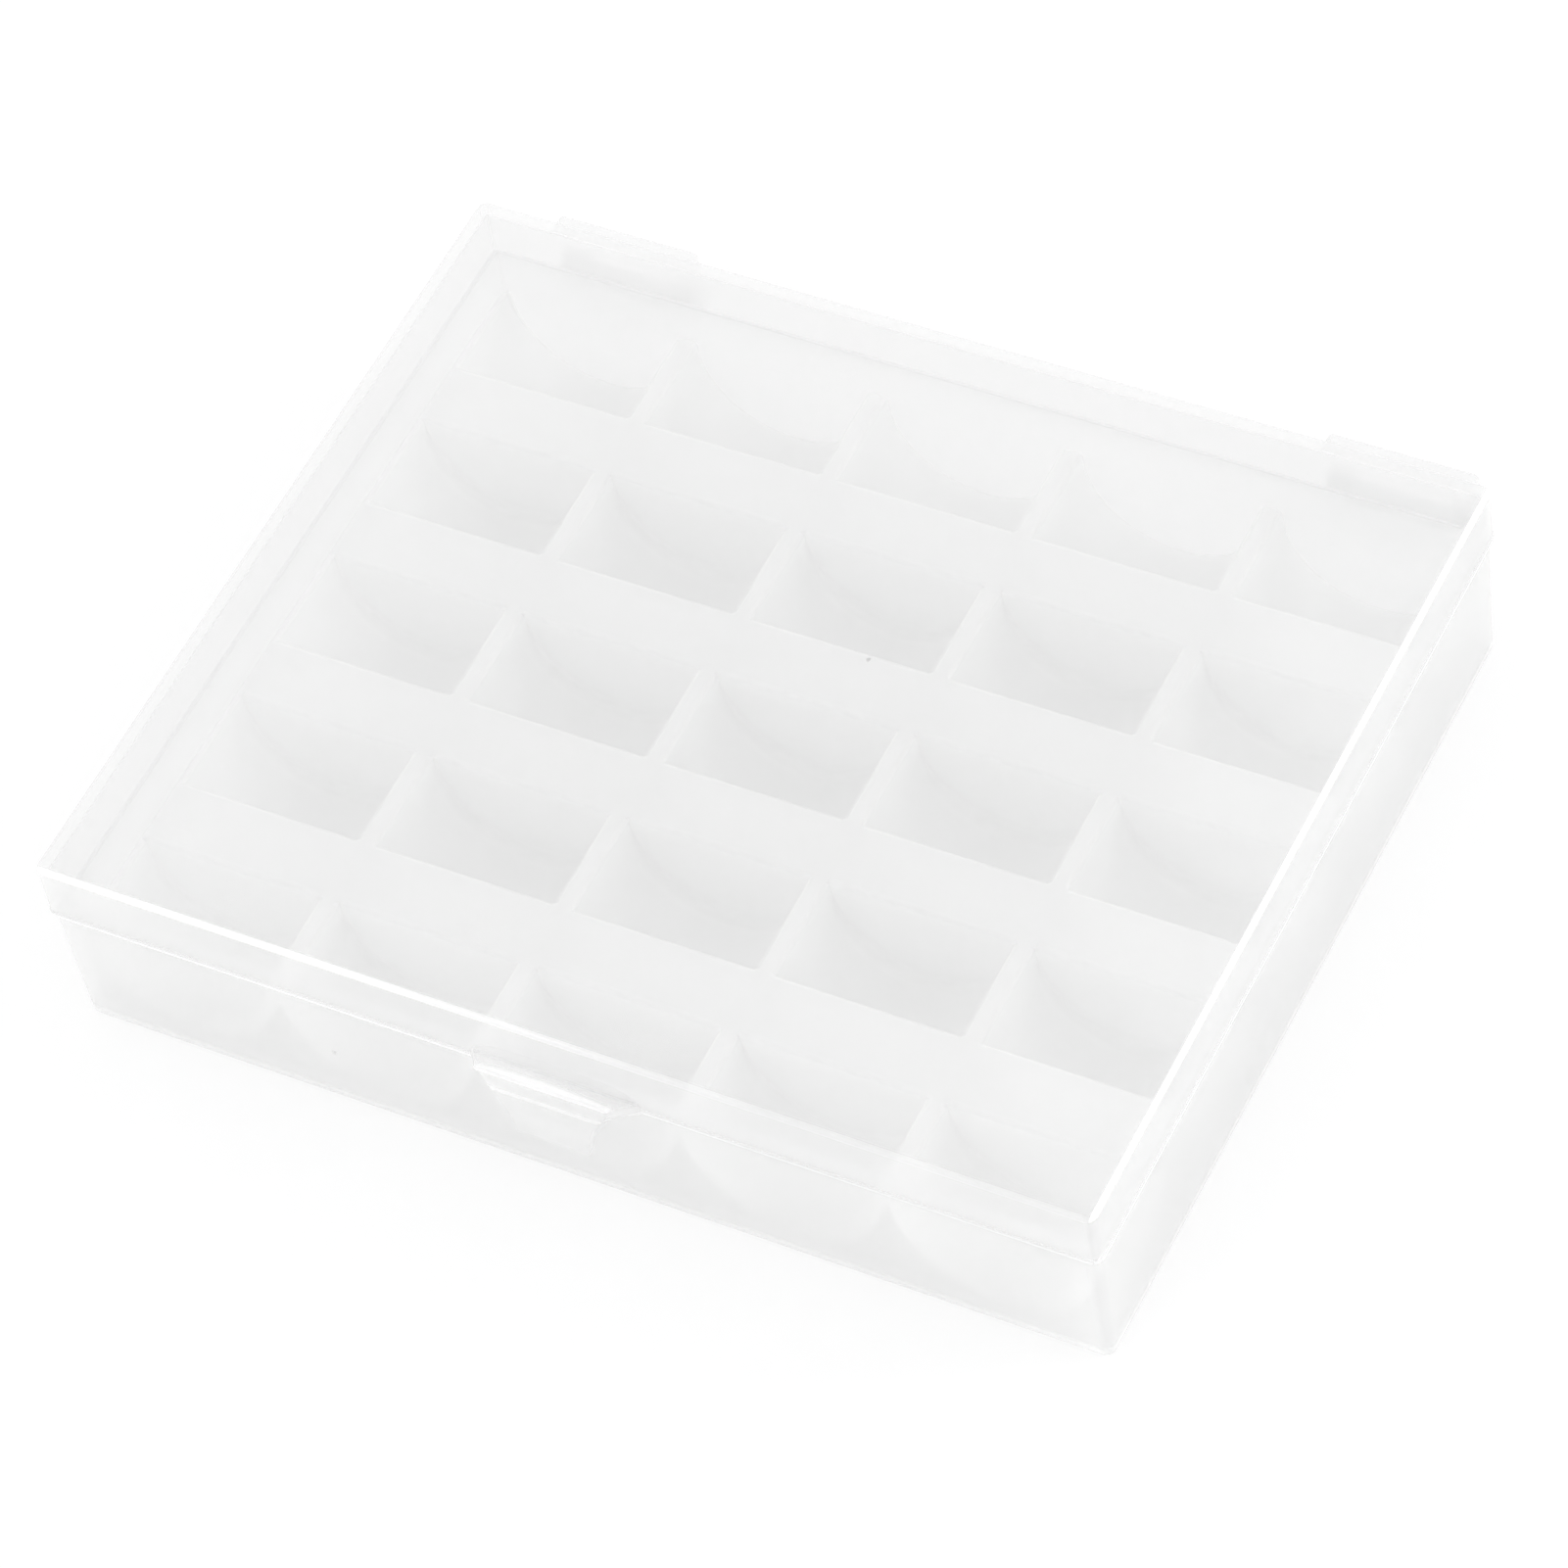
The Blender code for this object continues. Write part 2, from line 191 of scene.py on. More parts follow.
def join_lines(mesh_data, first, second):
    """A strip of faces between two lines of vertices."""
    for corners in zip(first, first[1:], second[1:], second):
        mesh_data.faces.new(corners)


def close_rings(mesh_data, rings):
    """Faces from each ring of vertices to the next, and over the first and the last."""
    for lower, upper in zip(rings, rings[1:]):
        join_lines(mesh_data, lower + lower[:1], upper + upper[:1])
    mesh_data.faces.new(rings[0])
    mesh_data.faces.new(rings[-1])


def ring_shell(name, half, corner, section):
    """A closed shell whose section, as (inset, height) points, runs round a rounded rectangle.

    It starts and ends with a flat face, at the section's first and last points.
    """
    mesh_data = bmesh.new()
    rings = []
    for inset, z in section:
        ring_half = half - Vector((inset, inset))
        points = rounded_rectangle(ring_half, max(corner - inset, LEAST_CORNER))
        rings.append([mesh_data.verts.new((x, y, z)) for x, y in points])
    close_rings(mesh_data, rings)
    return new_object(name, mesh_data)


def new_object(name, mesh_data):
    bmesh.ops.recalc_face_normals(mesh_data, faces=mesh_data.faces)
    mesh = bpy.data.meshes.new(name)
    mesh_data.to_mesh(mesh)
    mesh_data.free()
    obj = bpy.data.objects.new(name, mesh)
    bpy.context.scene.collection.objects.link(obj)
    return obj


def round_edges(mesh_data, wanted, radius, steps=ROUND_STEPS):
    """Rounds off the edges whose two ends pass a test."""
    edges = [edge for edge in mesh_data.edges if wanted(*(v.co for v in edge.verts))]
    bmesh.ops.bevel(mesh_data, geom=edges, offset=radius, segments=steps, profile=0.5, affect="EDGES")


def block(low, high, rounds=()):
    """A block between two corners. Each of rounds is (a test of an edge's two ends, a radius)."""
    low, high = Vector(low), Vector(high)
    place = Matrix.Translation((low + high) / 2) @ Matrix.Diagonal((*(high - low), 1))
    mesh_data = bmesh.new()
    bmesh.ops.create_cube(mesh_data, size=1, matrix=place)
    for wanted, radius in rounds:
        round_edges(mesh_data, wanted, radius)
    return mesh_data


def rod(centre, radius, length):
    """A rod along X."""
    mesh_data = bmesh.new()
    bmesh.ops.create_cone(
        mesh_data, cap_ends=True, segments=ROD_STEPS, radius1=radius, radius2=radius, depth=length,
        matrix=Matrix.Translation(centre) @ Matrix.Rotation(math.pi / 2, 4, "Y"),
    )
    return mesh_data


def combine(target, mesh_data, operation):
    """Joins a closed shape to the target, or cuts it out, and keeps only the result."""
    tool = new_object("tool", mesh_data)
    modifier = target.modifiers.new("combine", "BOOLEAN")
    modifier.operation = operation
    modifier.object = tool
    modifier.solver = "EXACT"
    settle(target)
    bpy.data.objects.remove(tool)


def settle(obj):
    """Replaces an object's mesh with what its modifiers make of it."""
    bpy.context.view_layer.update()
    graph = bpy.context.evaluated_depsgraph_get()
    mesh = bpy.data.meshes.new_from_object(obj.evaluated_get(graph))
    obj.modifiers.clear()
    obj.data = mesh


def smooth(obj, sharpest=35):
    """Smooth rounds beside flat faces that stay flat. Edges past the sharpest angle stay sharp."""
    obj.data.shade_smooth()
    obj.data.set_sharp_from_angle(angle=math.radians(sharpest))
    modifier = obj.modifiers.new("even normals", "WEIGHTED_NORMAL")
    modifier.keep_sharp = True
    modifier.weight = 100
    settle(obj)


def rim_edge(a, b):
    """Whether an edge lies in the end face of a rod along X."""
    return abs(a.x - b.x) < BITE


def arm_back_edge(a, b):
    return min(a.y, b.y) > ARM_BACK_Y - SMALL_ROUND


def arm_top_end(a, b):
    """Whether an edge runs along Y at the top of an arm."""
    runs_back = abs(a.y - b.y) > BITE
    return runs_back and min(a.z, b.z) > LID_TOP_Z - ARM_TOP_DROP - SMALL_ROUND


def bead_edge(a, b):
    return min(a.y, b.y) > TAB_FRONT_Y + TAB_WALL


def ridge_edge(a, b):
    return max(a.y, b.y) < -BASE_HALF.y


def make_lid():
    outer_wall = RIM_BEAD_PROUD + LID_TOP_ROUND
    underside = LID_TOP_Z - LID_WALL
    section = arc((outer_wall, LID_TOP_Z - LID_TOP_ROUND), LID_TOP_ROUND, 90, 180)
    section += [(RIM_BEAD_PROUD, RIM_Z + RIM_BEAD_HEIGHT)]
    section += arc((RIM_ROUND, RIM_Z + RIM_BEAD_HEIGHT - RIM_ROUND), RIM_ROUND, 110, 180)
    section += arc((RIM_ROUND, RIM_Z + RIM_ROUND), RIM_ROUND, 180, 270)
    section += arc((LID_WALL - RIM_ROUND, RIM_Z + RIM_ROUND), RIM_ROUND, 270, 360)
    section += arc((LID_WALL + LID_INNER_ROUND, underside - LID_INNER_ROUND), LID_INNER_ROUND, 180, 90)
    lid = ring_shell("lid_cover", LID_HALF, LID_CORNER, section)
    for middle in HINGE_MIDDLES:
        add_hinge_arm(lid, middle)
    combine(lid, tab_loft(), "UNION")
    combine(lid, block(
        (-TAB_ROOT_HALF - OVERRUN, TAB_FRONT_Y + TAB_WALL, TAB_FOOT_Z - OVERRUN),
        (TAB_ROOT_HALF + OVERRUN, LID_WALL - LID_HALF.y, RIM_Z),
    ), "DIFFERENCE")
    combine(lid, block(
        (-RIDGE_HALF, TAB_FRONT_Y + TAB_WALL - BITE, BEAD_TOP_Z - BEAD_HEIGHT),
        (RIDGE_HALF, BEAD_TIP_Y, BEAD_TOP_Z),
        [(bead_edge, RIDGE_ROUND)],
    ), "UNION")
    smooth(lid)
    return lid


def add_hinge_arm(lid, middle):
    """An arm on the lid's back, with a bored knuckle below it."""
    centre = (middle, HINGE.y, HINGE.z)
    half = HINGE_LENGTH / 2
    combine(lid, block(
        (middle - half, LID_HALF.y - BITE, HINGE.z + KNUCKLE_RADIUS + ARM_GAP),
        (middle + half, ARM_BACK_Y, LID_TOP_Z - ARM_TOP_DROP),
        [(arm_top_end, ARM_END_ROUND), (arm_back_edge, ARM_BACK_ROUND)],
    ), "UNION")
    half = KNUCKLE_LENGTH / 2
    combine(lid, block(
        (middle - half, LID_HALF.y, HINGE.z),
        (middle + half, ARM_BACK_Y, HINGE.z + KNUCKLE_RADIUS + 2 * ARM_GAP),
    ), "UNION")
    combine(lid, rod(centre, KNUCKLE_RADIUS, KNUCKLE_LENGTH), "UNION")
    combine(lid, rod(centre, BORE_RADIUS, KNUCKLE_LENGTH + OVERRUN), "DIFFERENCE")


def tab_loft():
    """The thumb tab: an arched root on the skirt that draws in to a narrower front and a small foot."""
    layers = [
        (BITE - LID_HALF.y, 0),
        (-LID_HALF.y, 0),
        (TAB_FRONT_Y + TAB_ROUND, 1 - FRONT_ROUND_SHARE),
    ]
    for step in range(1, ROUND_STEPS + 1):
        angle = math.pi / 2 * step / ROUND_STEPS
        layers.append((
            TAB_FRONT_Y + TAB_ROUND * (1 - math.sin(angle)),
            1 - FRONT_ROUND_SHARE * math.cos(angle),
        ))
    rises = [step / TAB_STEPS for step in range(TAB_STEPS + 1)]
    mesh_data = bmesh.new()
    rings = []
    for y, share in layers:
        ring = []
        for side, ordered in ((1, rises), (-1, rises[::-1])):
            for rise in ordered:
                root, front = Vector(root_outline(rise)), Vector(front_outline(rise))
                x, z = root.lerp(front, share)
                ring.append(mesh_data.verts.new((side * x, y, z)))
        rings.append(ring)
    close_rings(mesh_data, rings)
    bmesh.ops.remove_doubles(mesh_data, verts=mesh_data.verts, dist=WELD)
    return mesh_data


def root_outline(rise):
    """Half of the tab's outline on the skirt, from the foot up to the arch's top."""
    z = TAB_FOOT_Z + rise * (TAB_ROOT_Z - TAB_FOOT_Z)
    if z < RIM_Z:
        share = (z - TAB_FOOT_Z) / (RIM_Z - TAB_FOOT_Z)
        return TAB_FOOT_HALF + (TAB_ROOT_HALF - TAB_FOOT_HALF) * share ** ROOT_FLARE, z
    share = (z - RIM_Z) / (TAB_ROOT_Z - RIM_Z)
    return TAB_ROOT_HALF * (1 - share ** ROOT_ARCH) ** (1 / ROOT_ARCH), z


def front_outline(rise):
    """Half of the tab's outline at its front, from the foot up to the flat top."""
    share = min(rise / FRONT_SIDES_SHARE, 1)
    top = max(rise - FRONT_SIDES_SHARE, 0) / (1 - FRONT_SIDES_SHARE)
    x = TAB_FOOT_HALF + (TAB_TOP_HALF - TAB_FOOT_HALF) * share ** FRONT_FLARE
    return x * (1 - top), TAB_FOOT_Z + share * (TAB_TOP_Z - TAB_FOOT_Z)


def make_base():
    outer_foot = BASE_DRAFT + FOOT_ROUND
    inner_foot = WALL_INSET + CAVITY_DRAFT + FLOOR_ROUND
    section = arc((outer_foot, FOOT_ROUND), FOOT_ROUND, 270, 180)
    section += arc((LEDGE_ROUND, LEDGE_Z - LEDGE_ROUND), LEDGE_ROUND, 180, 90)
    section += [(LIP_INSET, LEDGE_Z)]
    section += arc((LIP_INSET + LEDGE_ROUND, LIP_Z - LEDGE_ROUND), LEDGE_ROUND, 180, 90)
    section += arc((WALL_INSET - LEDGE_ROUND, LIP_Z - LEDGE_ROUND), LEDGE_ROUND, 90, 0)
    section += arc((inner_foot, FLOOR_Z + FLOOR_ROUND), FLOOR_ROUND, 180, 270)
    base = ring_shell("base_tray", BASE_HALF, BASE_CORNER, section)
    for middle in HINGE_MIDDLES:
        for side in (-1, 1):
            add_hinge_lug(base, middle + side * (HINGE_LENGTH - LUG_LENGTH) / 2)
    combine(base, block(
        (-RIDGE_HALF, BASE_LOW.y, RIDGE_TOP_Z - RIDGE_HEIGHT),
        (RIDGE_HALF, WALL_INSET / 2 - BASE_HALF.y, RIDGE_TOP_Z),
        [(ridge_edge, RIDGE_ROUND)],
    ), "UNION")
    smooth(base)
    return base


def add_hinge_lug(base, x):
    """A bored lug on the base's back, with a web to the wall."""
    centre = (x, HINGE.y, HINGE.z)
    combine(base, rod(centre, KNUCKLE_RADIUS, LUG_LENGTH), "UNION")
    combine(base, block(
        (x - LUG_LENGTH / 2, BASE_HALF.y - WALL_INSET / 2, HINGE.z - KNUCKLE_RADIUS),
        (x + LUG_LENGTH / 2, HINGE.y, HINGE.z + LUG_WEB_RISE),
    ), "UNION")
    combine(base, rod(centre, BORE_RADIUS, LUG_LENGTH + OVERRUN), "DIFFERENCE")


def column_section(radius, crest_z):
    """(x, z) points across one column: a half-round trough between two halves of a flat crest."""
    crest_half = SLOT_PITCH_X / 2 - radius
    brim = min(SLOT_BRIM_ROUND, crest_half * BRIM_SHARE, crest_z - SLOT_AXIS_Z)
    crest = [(-SLOT_PITCH_X / 2, crest_z)]
    crest += arc((-radius - brim, crest_z - brim), brim, 90, 0, CREST_BRIM_STEPS)
    trough = arc((0, SLOT_AXIS_Z), radius, 180, 360, TROUGH_STEPS)
    return crest + trough + [(-x, z) for x, z in reversed(crest)]


def slot_path(depth, half_length, open_end, reach):
    """Half a slot's run along Y at one x, as (y, drop) points: floor, fillet, end wall, brim, band.

    An open end has as many points, all at the floor's depth.
    """
    path = [(0, depth), (half_length / 2, depth)]
    if open_end:
        path += straight((half_length / 2, depth), (half_length, depth), OPEN_END_STEPS)
        return path + straight((half_length, depth), (reach, depth), BAND_STEPS)
    foot = min(SLOT_FLOOR_ROUND, depth / 2)
    brim = min(SLOT_BRIM_ROUND, depth / 2)
    path += arc((half_length - foot, depth - foot), foot, 90, 0, END_ROUND_STEPS)
    path += straight((half_length, depth - foot), (half_length, brim), END_WALL_STEPS)[:-1]
    path += arc((half_length + brim, brim), brim, 180, 270, END_ROUND_STEPS)
    return path + straight((half_length + brim, 0), (reach, 0), BAND_STEPS)


def inside_outline(x, y):
    """The point itself, or the nearest one inside the insert's rounded outline."""
    half = INSERT_HIGH.xy
    point = Vector((max(-half.x, min(half.x, x)), max(-half.y, min(half.y, y))))
    centre = Vector((
        math.copysign(half.x - INSERT_CORNER, x), math.copysign(half.y - INSERT_CORNER, y)
    ))
    out = point - centre
    if out.x * x > 0 and out.y * y > 0 and out.length > INSERT_CORNER:
        return centre + out.normalized() * INSERT_CORNER
    return point


def row_line(depth, half_length):
    """(y, drop) points of a whole line along Y, through one slot of each row."""
    line = []
    for row in range(SLOT_ROWS):
        middle = (row - (SLOT_ROWS - 1) / 2) * SLOT_PITCH_Y
        for side in (-1, 1):
            outer = row == (0 if side < 0 else SLOT_ROWS - 1)
            reach = INSERT_HIGH.y - abs(middle) if outer else SLOT_PITCH_Y / 2
            path = slot_path(depth, min(half_length, reach), outer, reach)
            if side < 0:
                path = path[:0:-1]
            elif not outer:
                path = path[:-1]
            line += [(middle + side * y, drop) for y, drop in path]
    return line


def insert_sheet(mesh_data, radius, crest_z, half_length):
    """One face of the insert as a grid of vertices, by x and then y."""
    section = column_section(radius, crest_z)
    grid = []
    for column in range(SLOT_COLUMNS):
        middle = (column - (SLOT_COLUMNS - 1) / 2) * SLOT_PITCH_X
        for x, z in section[(1 if column else 0):]:
            grid.append([
                mesh_data.verts.new((*inside_outline(middle + x, y), crest_z - drop))
                for y, drop in row_line(crest_z - z, half_length)
            ])
    return grid


def make_insert():
    mesh_data = bmesh.new()
    over = insert_sheet(mesh_data, SLOT_RADIUS, INSERT_HIGH.z, SLOT_LENGTH / 2)
    under = insert_sheet(
        mesh_data, SLOT_RADIUS + INSERT_WALL, INSERT_HIGH.z - INSERT_WALL, SLOT_LENGTH / 2 + INSERT_WALL
    )
    for grid in (over, under):
        for first, second in zip(grid, grid[1:]):
            join_lines(mesh_data, first, second)
    for end in (0, -1):
        join_lines(mesh_data, over[end], under[end])
        join_lines(mesh_data, [line[end] for line in over], [line[end] for line in under])
    insert = new_object("slot_insert", mesh_data)
    smooth(insert, sharpest=50)
    return insert


def make_pin(side):
    low, high = PIN_BOXES[side]
    mesh_data = rod((low + high) / 2, PIN_RADIUS, HINGE_LENGTH)
    round_edges(mesh_data, rim_edge, SMALL_ROUND, ROUND_STEPS // 2)
    pin = new_object("pin_" + side, mesh_data)
    smooth(pin)
    return pin


class Reading:
    """A number that a node gives. Arithmetic on it adds Math nodes."""

    def __init__(self, finish, socket):
        self.finish = finish
        self.socket = socket

    def maths(self, operation, first, second):
        return self.finish.node("Math", {"operation": operation}, {0: first, 1: second})

    def __add__(self, other):
        return self.maths("ADD", self, other)

    def __sub__(self, other):
        return self.maths("SUBTRACT", self, other)

    def __rsub__(self, other):
        return self.maths("SUBTRACT", other, self)

    def __mul__(self, other):
        return self.maths("MULTIPLY", self, other)

    def __gt__(self, other):
        return self.maths("GREATER_THAN", self, other)

    def __lt__(self, other):
        return self.maths("LESS_THAN", self, other)

    def at_least(self, other):
        return self.maths("MAXIMUM", self, other)

    def at_most(self, other):
        return self.maths("MINIMUM", self, other)

    def beside(self, name):
        """Another output of the same node."""
        return Reading(self.finish, socket_of(self.socket.node.outputs, name))

    __radd__ = __add__
    __rmul__ = __mul__


class Finish:
    """The nodes of a material or of the world, built one by one."""

    def __init__(self, owner):
        owner.use_nodes = True
        self.owner = owner
        self.tree = owner.node_tree
        self.tree.nodes.clear()

    def node(self, kind, settings=None, inputs=None, output=0):
        """Adds a node, sets it up, fills its sockets with values or links, and returns one output."""
        made = self.tree.nodes.new("ShaderNode" + kind)
        for name, value in (settings or {}).items():
            setattr(made, name, value)
        for name, value in (inputs or {}).items():
            socket = socket_of(made.inputs, name)
            if isinstance(value, Reading):
                self.tree.links.new(value.socket, socket)
            else:
                socket.default_value = value
        return Reading(self, socket_of(made.outputs, output)) if len(made.outputs) else None

    def rise(self, value, low, high):
        """0 below the low value, 1 above the high one, and a soft step between them."""
        return self.node("MapRange", {"interpolation_type": "SMOOTHSTEP"}, {
            "Value": value, "From Min": low, "From Max": high}, "Result")

    def blend(self, factor, first, second, way="MIX"):
        """A colour between two colours, or the first one changed by the second."""
        return self.node("Mix", {"data_type": "RGBA", "blend_type": way}, {
            "Factor": factor, "A": first, "B": second}, "Result")

    def noise(self, place, scale, detail):
        return self.node("TexNoise", inputs={"Vector": place, "Scale": scale, "Detail": detail})

    def surface(self, shader):
        self.node("OutputMaterial", inputs={"Surface": shader})
        return self.owner


def socket_of(sockets, name):
    if isinstance(name, int):
        return sockets[name]
    return next(socket for socket in sockets if socket.enabled and socket.name == name)


def grey(level):
    return (level, level, level, 1)


# Looks of the plastic: shares, and scales of the patterns over one metre
GLOW_SHARE = 0.55
PLASTIC_IOR = 1.49
COAT_ROUGHNESS = 0.08
VEIL_BLEND = 0.4
CLOUD_SCALE = 34
CLOUD_VEIL = 0.06
SMUDGE_SCALE = 60
SMUDGE_ROUGHNESS = 0.06
WAVE_SCALE = 45
WAVE_STRENGTH = 0.4
WAVE_HEIGHT = 0.2 * MM
SPECK_SCALE = 110
SPECK_SIZE = 0.03
SPECK_SHARE = 0.07
SPECK_TONE = 0.18
SPECK_STRENGTH = 0.8
SPECK_VEIL = 0.6
# Painted highlights on the lid's edges: their veil, how far in on the top round they start, how they fade
# along X, and the share left on the right
HIGHLIGHT_VEIL = 0.95
HIGHLIGHT_INNER_SHARE = 0.75
HIGHLIGHT_FADE = 25 * MM
HIGHLIGHT_RIGHT_SHARE = 0.25


def painted_edge_highlights(finish, x, y, z):
    """Painted highlights: masks of the lid's top edges, the line of its rim and the tab's top front edge,
    painted white. On the front edge the painted highlight fades out towards +X.
    """
    near, far = LID_TOP_ROUND * HIGHLIGHT_INNER_SHARE, LID_TOP_ROUND
    top = finish.rise(z, LID_TOP_Z - far, LID_TOP_Z - near)
    right = finish.rise(x, LID_HALF.x - far, LID_HALF.x - near)
    front = 1 - finish.rise(y, near - LID_HALF.y, far - LID_HALF.y)
    left_part = 1 - finish.rise(x, -HIGHLIGHT_FADE, HIGHLIGHT_FADE) * (1 - HIGHLIGHT_RIGHT_SHARE)
    rim = finish.rise(z, RIM_Z - RIM_ROUND, RIM_Z) * (
        1 - finish.rise(z, RIM_Z + 2 * RIM_ROUND, RIM_Z + 3 * RIM_ROUND))
    tab = finish.rise(z, TAB_TOP_Z - 3 * RIM_ROUND, TAB_TOP_Z - 2 * RIM_ROUND) * (
        1 - finish.rise(y, TAB_FRONT_Y + TAB_ROUND, TAB_FRONT_Y + 2 * TAB_ROUND))
    return (top.at_least(rim) * (right + front * left_part)).at_least(tab)


def milky(
    name, bright, dull, face_veil, edge_veil, gloss, coated=True, haze=1.0,
    edges=None, crest_shade=None, floor_veil=None,
):
    """Translucent moulded plastic: a milky veil that is thicker at a glancing view, under a gloss.

    Part of the veil's light comes through from behind. It has flow clouds, faint waves, smudges and
    a few dark specks. Edges can get painted highlights, the insert's crests a painted shade, and the
    base's floor can be more veiled.
    """
    finish = Finish(bpy.data.materials.new(name))
    place = finish.node("TexCoord", output="Object")
    x = finish.node("SeparateXYZ", inputs={"Vector": place}, output="X")
    y, z = x.beside("Y"), x.beside("Z")
    clouds = finish.noise(place, CLOUD_SCALE, 2)
    distance = finish.node("TexVoronoi", inputs={"Vector": place, "Scale": SPECK_SCALE}, output="Distance")
    chance = finish.node("SeparateColor", inputs={"Color": distance.beside("Color")})
    speck = (distance < SPECK_SIZE) * (chance > 1 - SPECK_SHARE)
    facing = finish.node("LayerWeight", inputs={"Blend": VEIL_BLEND}, output="Facing")
    colour = finish.blend(clouds, grey(dull), grey(bright))
    colour = finish.blend(speck * SPECK_STRENGTH, colour, grey(SPECK_TONE))
    veil = face_veil + (clouds - 0.5) * CLOUD_VEIL + facing * (edge_veil - face_veil) + speck * SPECK_VEIL
    # Painted shade: by height, the insert's colour is made a little darker towards its top
    if crest_shade:
        crest = finish.rise(z, INSERT_LOW.z + SLOT_RADIUS / 2, INSERT_HIGH.z)
        colour = finish.blend(crest, colour, grey(crest_shade), "MULTIPLY")
    # Painted highlights: the lid's edge masks paint the colour white and thicken the veil there
    if edges:
        painted_highlight = edges(finish, x, y, z)
        colour = finish.blend(painted_highlight, colour, grey(1))
        veil = veil + painted_highlight * (HIGHLIGHT_VEIL - face_veil)
    if floor_veil:
        veil = veil + (1 - finish.rise(z, FLOOR_Z, FLOOR_Z + FLOOR_ROUND)) * floor_veil
    normal = finish.node("Bump", inputs={
        "Strength": WAVE_STRENGTH, "Distance": WAVE_HEIGHT, "Height": finish.noise(place, WAVE_SCALE, 1)})
    shell = finish.node("BsdfPrincipled", inputs={
        "Base Color": colour,
        "Roughness": gloss + finish.noise(place, SMUDGE_SCALE, 2) * SMUDGE_ROUGHNESS,
        "Normal": normal,
        "Alpha": veil,
        "IOR": PLASTIC_IOR,
        "Coat Weight": 1 - finish.node("NewGeometry", output="Backfacing") if coated else 0,
        "Coat Roughness": COAT_ROUGHNESS,
    })
    clear = finish.node("BsdfTransparent", inputs={"Color": grey(haze)})
    glow = finish.node("BsdfTranslucent", inputs={"Color": grey(bright), "Normal": normal})
    inside = finish.node("MixShader", inputs={0: veil, 1: clear, 2: glow})
    return finish.surface(finish.node("MixShader", inputs={0: GLOW_SHARE, 1: shell, 2: inside}))


def clear_lid():
    return milky(
        "clear_lid", bright=0.94, dull=0.925, face_veil=0.17, edge_veil=0.5, gloss=0.2,
        haze=0.985, edges=painted_edge_highlights,
    )


def clear_base():
    return milky(
        "clear_base", bright=0.97, dull=0.955, face_veil=0.24, edge_veil=0.55, gloss=0.2,
        haze=0.945, floor_veil=0.35,
    )


def frosted_insert():
    return milky(
        "frosted_insert", bright=0.995, dull=0.985, face_veil=0.5, edge_veil=0.72, gloss=0.35,
        coated=False, crest_shade=0.985,
    )


def clear_pin():
    return milky("clear_pin", bright=0.97, dull=0.955, face_veil=0.5, edge_veil=0.9, gloss=0.25)


# Floor and light
FLOOR_SIDE = 6.0
FLOOR_DROP = 0.1 * MM
FLOOR_TONE = 0.85
SHADOW_SHARE = 0.3
WORLD_LIGHT = 1.14

# Camera, as fitted to the case's corners in the photograph
CAMERA_PLACE = (0.26169, -0.3671, 0.56442)
CAMERA_TARGET = (-0.0039, 0.00473, 0)
CAMERA_ROLL = -11.619
CAMERA_LENS = 157.2077
CAMERA_SENSOR = 36
CAMERA_NEAR = 10 * MM


def seen_directly(finish):
    """1 for what the camera sees straight, in a reflection or through clear plastic, and else 0."""
    camera = finish.node("LightPath", output="Is Camera Ray")
    return (camera + camera.beside("Is Glossy Ray") + camera.beside("Is Transmission Ray")).at_most(1)


def make_floor():
    mesh_data = bmesh.new()
    bmesh.ops.create_grid(mesh_data, x_segments=1, y_segments=1, size=FLOOR_SIDE / 2)
    floor = new_object("floor", mesh_data)
    floor.location.z = -FLOOR_DROP
    finish = Finish(bpy.data.materials.new("floor_paper"))
    paper = finish.node("BsdfDiffuse", inputs={"Color": grey(FLOOR_TONE)})
    white = finish.node("Emission", inputs={"Color": grey(1), "Strength": 1})
    share = seen_directly(finish) * (1 - SHADOW_SHARE)
    shader = finish.node("MixShader", inputs={0: share, 1: paper, 2: white})
    floor.data.materials.append(finish.surface(shader))


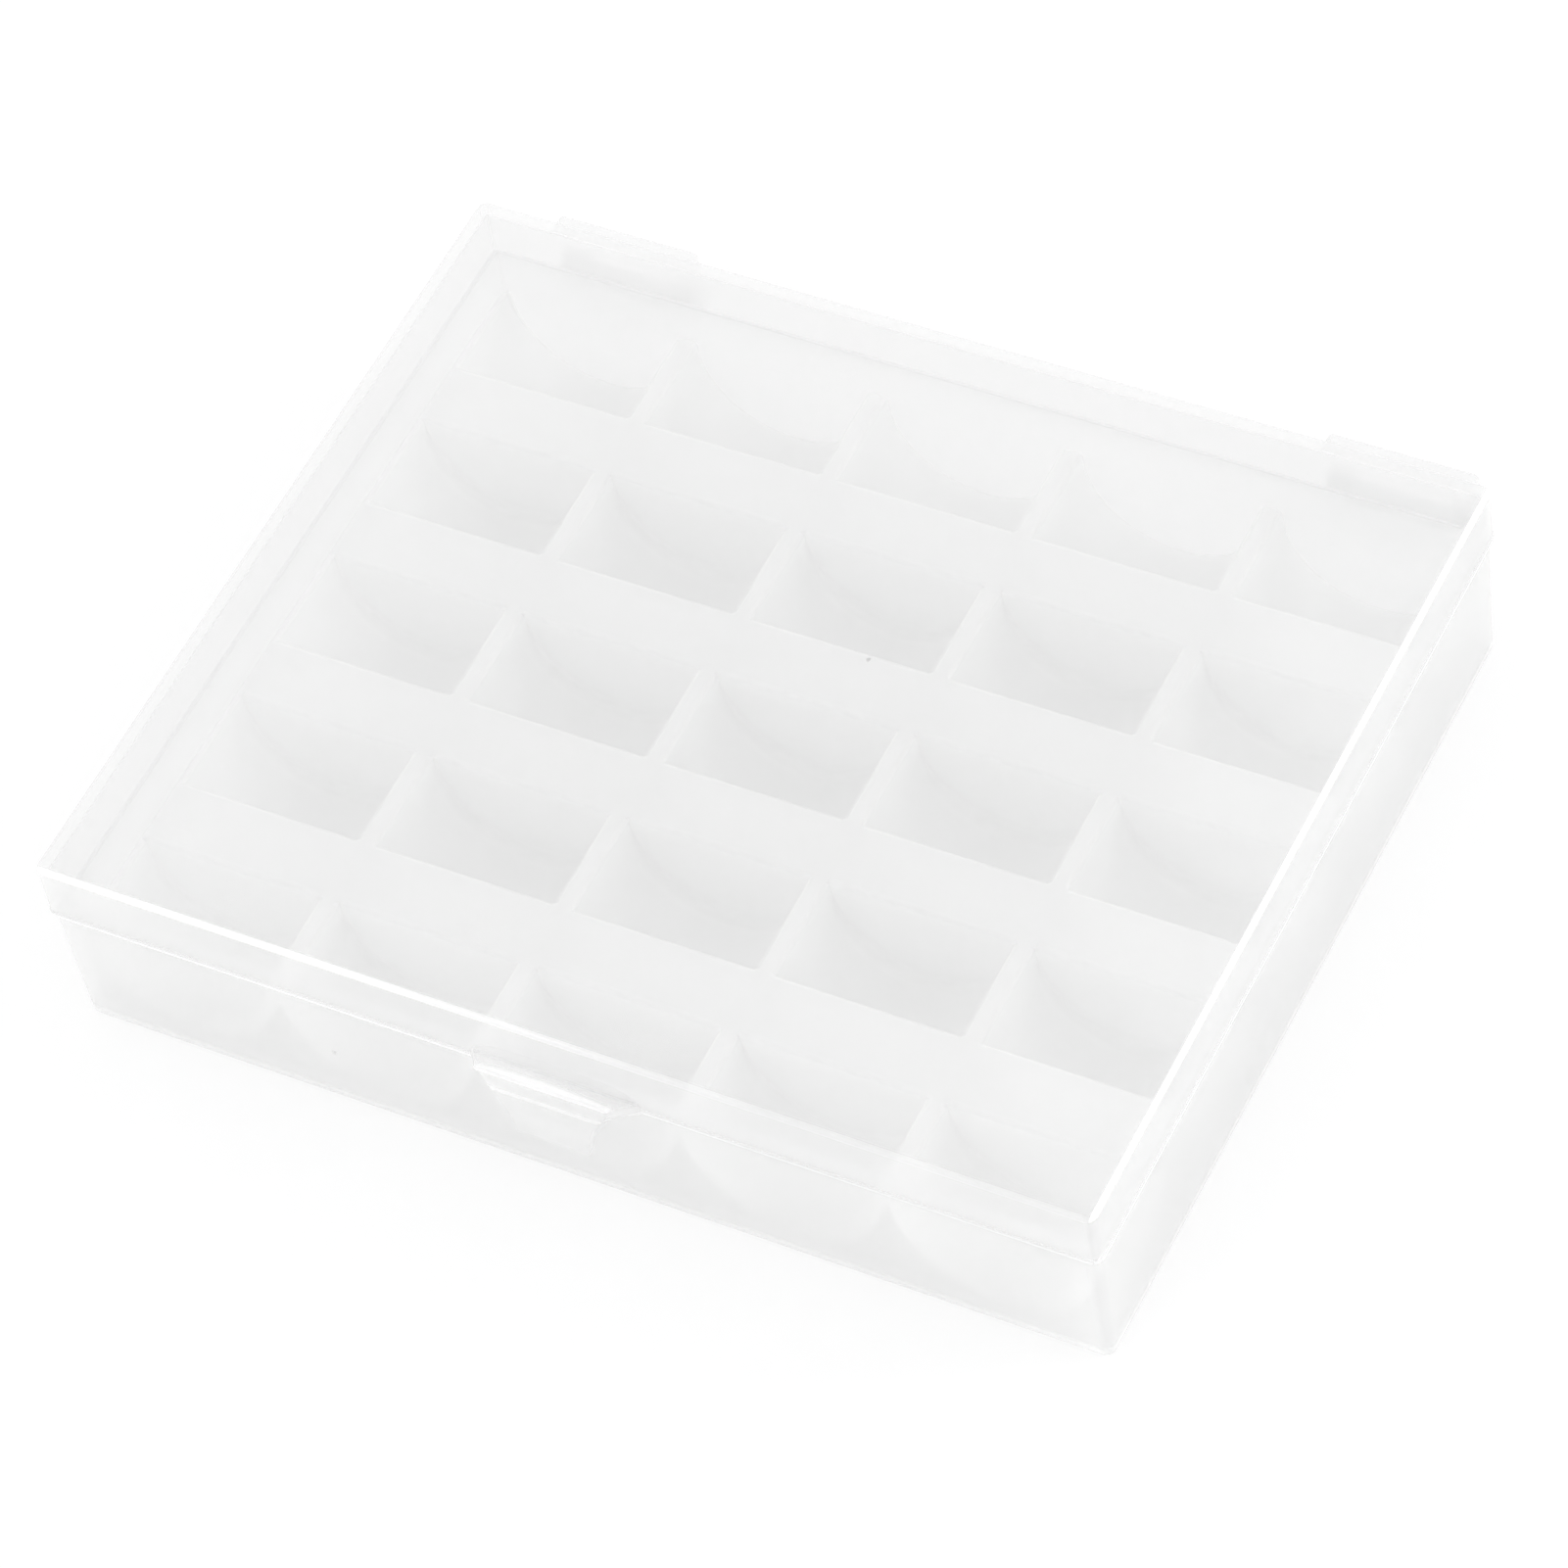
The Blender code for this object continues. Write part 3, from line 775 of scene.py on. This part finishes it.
def make_world():
    world = bpy.data.worlds.new("studio")
    bpy.context.scene.world = world
    finish = Finish(world)
    strength = WORLD_LIGHT + seen_directly(finish) * (1 - WORLD_LIGHT)
    light = finish.node("Background", inputs={"Color": grey(1), "Strength": strength})
    finish.node("OutputWorld", inputs={"Surface": light})


def aim(obj, place, target, roll=0):
    """Puts a lamp or camera in its place, looking at the target and rolled by an angle in degrees."""
    place, target = Vector(place), Vector(target)
    turn = (place - target).to_track_quat("Z", "Y").to_matrix().to_4x4()
    obj.matrix_world = Matrix.Translation(place) @ turn @ Matrix.Rotation(math.radians(roll), 4, "Z")


def add_lamp(name, place, width, height, power):
    light = bpy.data.lights.new(name, "AREA")
    light.shape = "RECTANGLE"
    light.size = width
    light.size_y = height
    light.energy = power
    lamp = bpy.data.objects.new(name, light)
    bpy.context.scene.collection.objects.link(lamp)
    lamp.visible_transmission = False
    aim(lamp, place, (0, 0, 0))


def make_camera():
    data = bpy.data.cameras.new("camera")
    data.sensor_width = CAMERA_SENSOR
    data.lens = CAMERA_LENS
    data.clip_start = CAMERA_NEAR
    camera = bpy.data.objects.new("camera", data)
    bpy.context.scene.collection.objects.link(camera)
    aim(camera, CAMERA_PLACE, CAMERA_TARGET, CAMERA_ROLL)
    bpy.context.scene.camera = camera


# Each piece, its body, the node that it replaces, its slot and its finish. The right hinge pin
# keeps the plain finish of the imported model.
PIECES = (
    (make_lid(), "lid", "case_lid", "clear_lid", clear_lid()),
    (make_base(), "base", "case_base", "clear_base", clear_base()),
    (make_insert(), "insert", "bobbin_insert", "frosted_insert", frosted_insert()),
    (make_pin("left"), "base", "hinge_pin_left", "clear_pin", clear_pin()),
    (make_pin("right"), "base", "hinge_pin_right", "clear_pin", bpy.data.materials["clear_pin"]),
)
for piece, body, node, slot, finish in PIECES:
    piece.data.materials.clear()
    piece.data.materials.append(finish)
    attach(piece, body)
    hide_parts(node)

make_floor()
make_world()
add_lamp("front_left_panel", (-0.36, -0.77, 0.51), width=0.3, height=0.2, power=1.6)
add_lamp("right_back_panel", (0.86, 0.46, 0.46), width=0.2, height=0.14, power=3.0)
make_camera()
bpy.context.scene.view_settings.view_transform = "Standard"
# Light goes through many thin walls here, one behind the other
bpy.context.scene.cycles.transparent_max_bounces = 32
